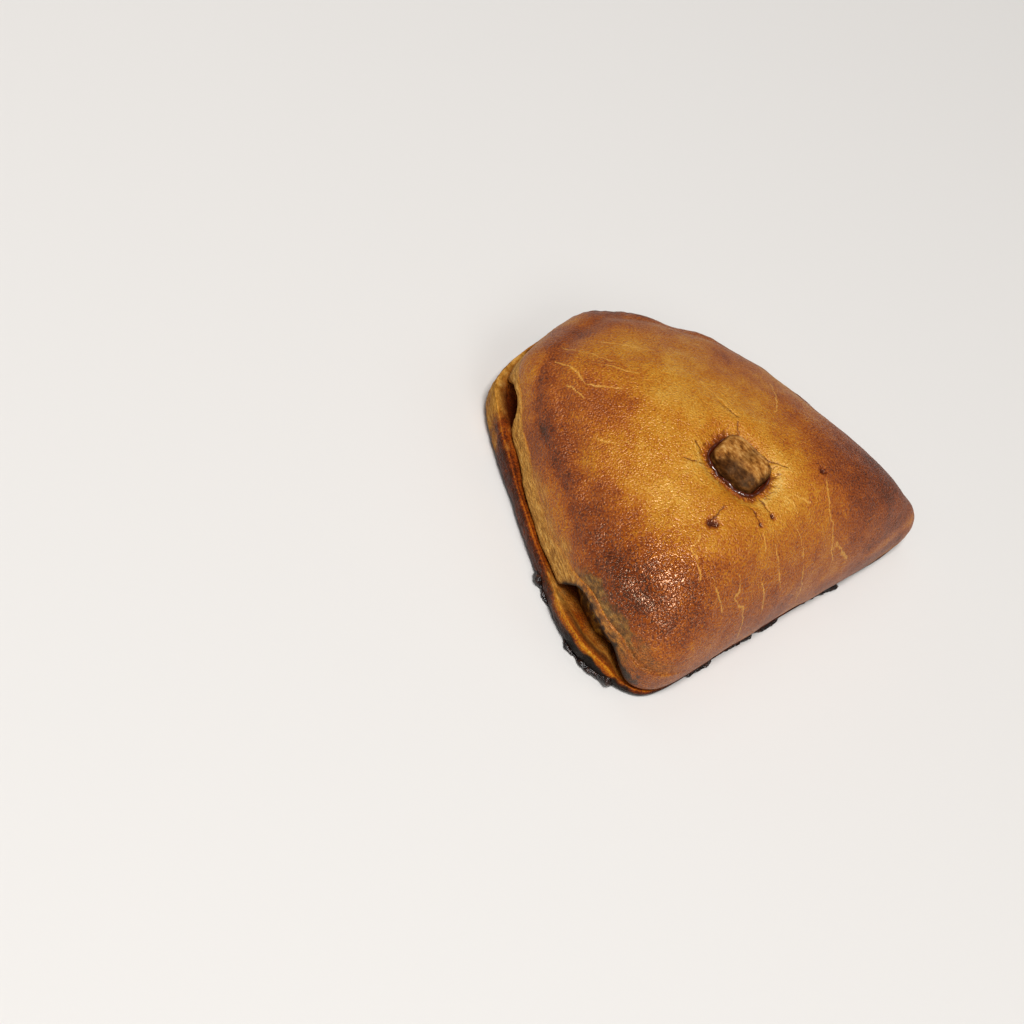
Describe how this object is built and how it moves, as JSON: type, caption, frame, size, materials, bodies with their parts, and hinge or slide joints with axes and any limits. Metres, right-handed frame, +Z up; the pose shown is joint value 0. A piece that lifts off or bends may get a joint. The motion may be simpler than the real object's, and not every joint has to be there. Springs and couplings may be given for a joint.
{
  "type": "meat turnover",
  "caption": "Baked half-moon meat turnover with a domed glazed top, a rolled seam round its curved edge, a slit showing the filling and a cube of meat set in the top.",
  "frame": {"origin": "centre of the bounding box's bottom face, on the surface that the turnover lies on", "axes": "+Z up through the dome; +X along the straight folded side, towards its pointed corner; +Y from the fold towards the back of the curved seam"},
  "size_m": [0.1386, 0.1186, 0.047],
  "materials": {
    "crust": "baked pastry, egg-glazed and blotchy golden to deep brown on top, pale and matt at the seam; leather stands in for it",
    "filling": "cooked minced meat filling, moist brown; leather stands in for it",
    "meat": "roasted cube of meat, dull brown with darker sides; leather stands in for it"
  },
  "bodies": {
    "root": {"pastry_case": "crust", "meat_filling": "filling", "meat_cube": "meat"}
  },
  "joints": []
}
